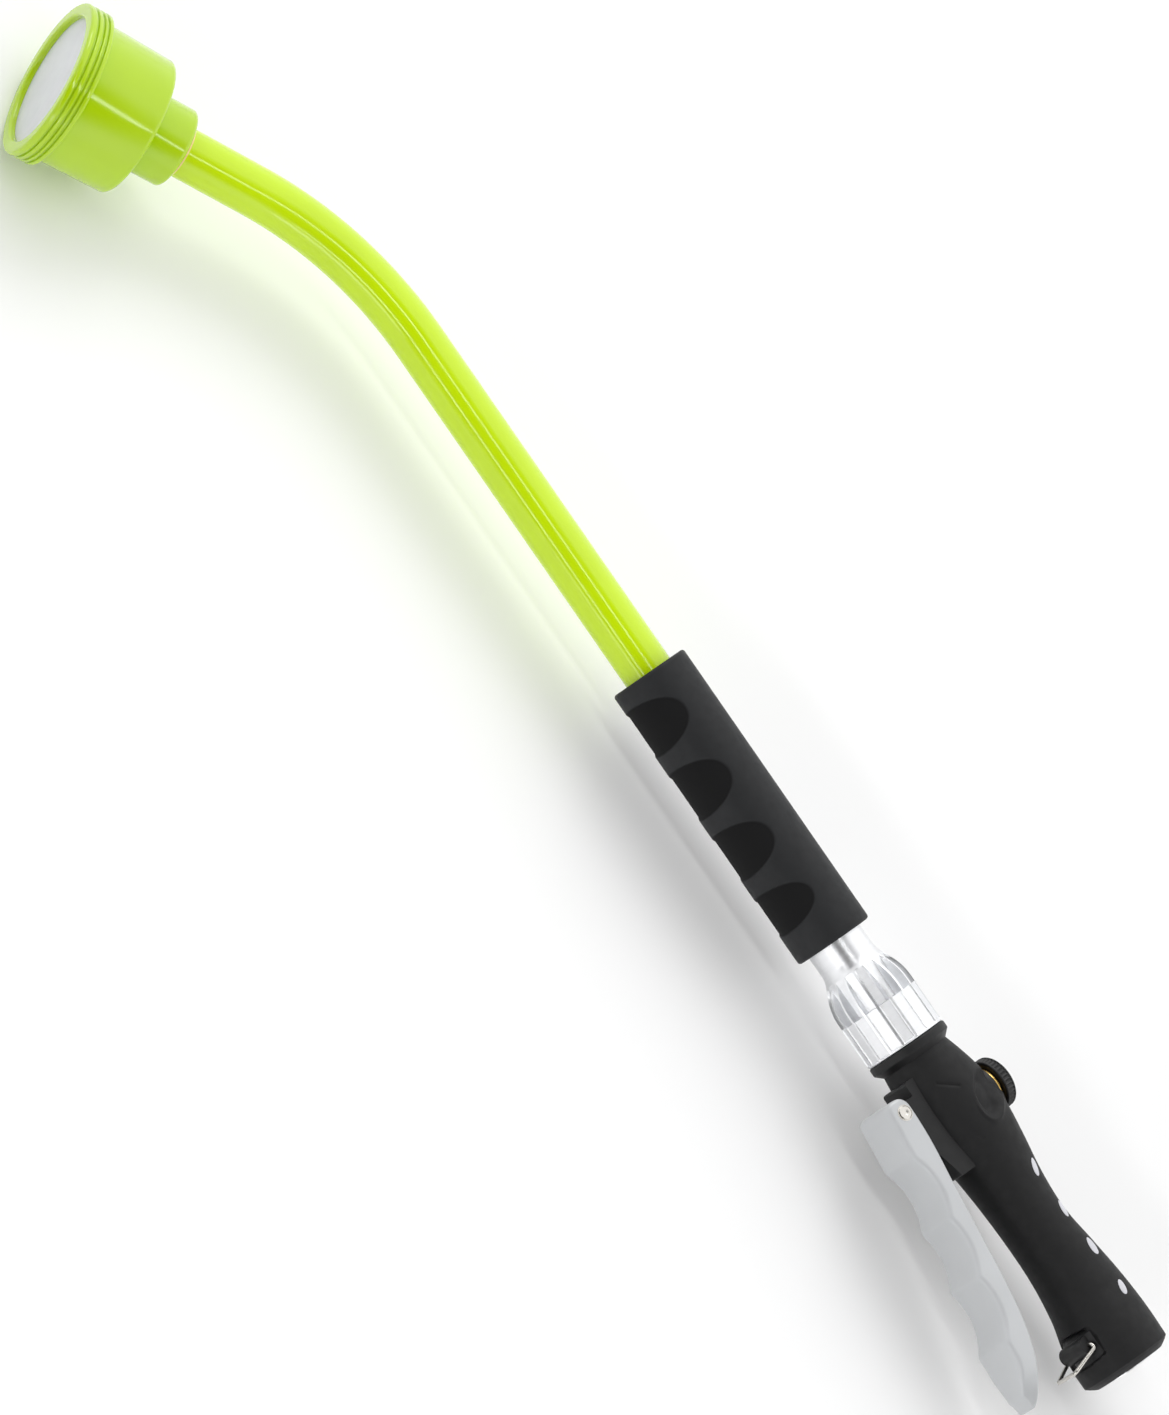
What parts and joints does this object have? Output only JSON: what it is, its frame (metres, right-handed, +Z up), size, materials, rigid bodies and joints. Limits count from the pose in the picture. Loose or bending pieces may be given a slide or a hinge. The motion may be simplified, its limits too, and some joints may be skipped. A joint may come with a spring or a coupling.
{
  "type": "watering wand",
  "caption": "Watering wand with a squeeze-lever valve handle, foam-gripped bent tube and a round rose head.",
  "frame": {"origin": "centre of the hose inlet's face, on the axis of the straight tube", "axes": "the wand lies on its side: +X along the straight tube from the hose end to the rose, +Y the side of the lever and the way the head bends, -Y the back of the handle with the flow knob, +Z up, across the wand's plane of symmetry"},
  "size_m": [0.6125, 0.1159, 0.0603],
  "materials": {
    "black_casting": "satin black coat",
    "black_rubber": "matte moulded rubber",
    "pale_inlay": "soft moulded",
    "bright_aluminium": "bright turned",
    "red_rubber": "soft washer",
    "steel": "bright",
    "brass": "turned",
    "seal_rubber": "smooth",
    "black_plastic": "satin",
    "cast_lever": "satin silver-grey coat on a die casting",
    "green_paint": "glossy powder coat",
    "foam": "closed-cell foam",
    "amber_seal": "clear amber",
    "green_plastic": "glossy moulded",
    "grey_plate": "smooth"
  },
  "bodies": {
    "wand": {"handle_casting": "black_casting", "handle_boot": "black_rubber", "grip_inlays": "pale_inlay", "inlet_insert": "bright_aluminium", "hose_washer": "red_rubber", "inlet_screen": "steel", "valve_seat": "brass", "gland_nut": "brass", "gland_seal": "seal_rubber", "return_spring": "steel", "bonnet_seal": "seal_rubber", "bonnet": "brass", "outlet_washer": "seal_rubber", "tube_ferrule": "bright_aluminium", "coupling_nut": "bright_aluminium", "wand_tube": "green_paint", "foam_grip": "foam", "end_seal": "amber_seal", "head_collar": "green_plastic", "head_shell": "green_plastic", "face_gasket": "seal_rubber", "face_plate": "grey_plate", "face_ring": "green_plastic"},
    "lever": {"lever": "cast_lever", "lever_pin": "steel"},
    "valve_stem": {"valve_stem": "steel", "plug_washer": "seal_rubber", "valve_plug": "brass"},
    "throttle": {"throttle_disc": "brass"},
    "flow_knob": {"flow_stem": "brass", "flow_knob": "black_plastic", "knob_screw": "steel"},
    "lock_bail": {"lock_bail": "steel"}
  },
  "joints": [
    {"name": "lever_squeeze", "type": "hinge", "parent": "wand", "child": "lever", "pos_m": [0.1214, 0.0247, 0], "axis": [0, 0, 1], "range_deg": [0, 8.5], "stiffness_Nm_per_rad": 0.8, "springref_deg": -22.92},
    {"name": "valve_push", "type": "slide", "parent": "wand", "child": "valve_stem", "axis": [0, -1, 0], "range_m": [0, 0.0016], "deforming": ["return_spring"]},
    {"name": "throttle_rise", "type": "slide", "parent": "wand", "child": "throttle", "axis": [0, -1, 0], "range_m": [0, 0.0015]},
    {"name": "flow_knob_turn", "type": "hinge", "parent": "throttle", "child": "flow_knob", "pos_m": [0.1112, -0.0205, 0], "axis": [0, -1, 0], "range_deg": [0, 540]},
    {"name": "lock_bail_swing", "type": "hinge", "parent": "wand", "child": "lock_bail", "pos_m": [0.016, 0.0141, 0], "axis": [0, 0, 1], "range_deg": [-90, 30]}
  ],
  "couplings": [
    {"joint": "valve_push", "follows": "lever_squeeze", "m_per_rad": 0.0102},
    {"joint": "throttle_rise", "follows": "flow_knob_turn", "m_per_rad": 0.00015915}
  ]
}
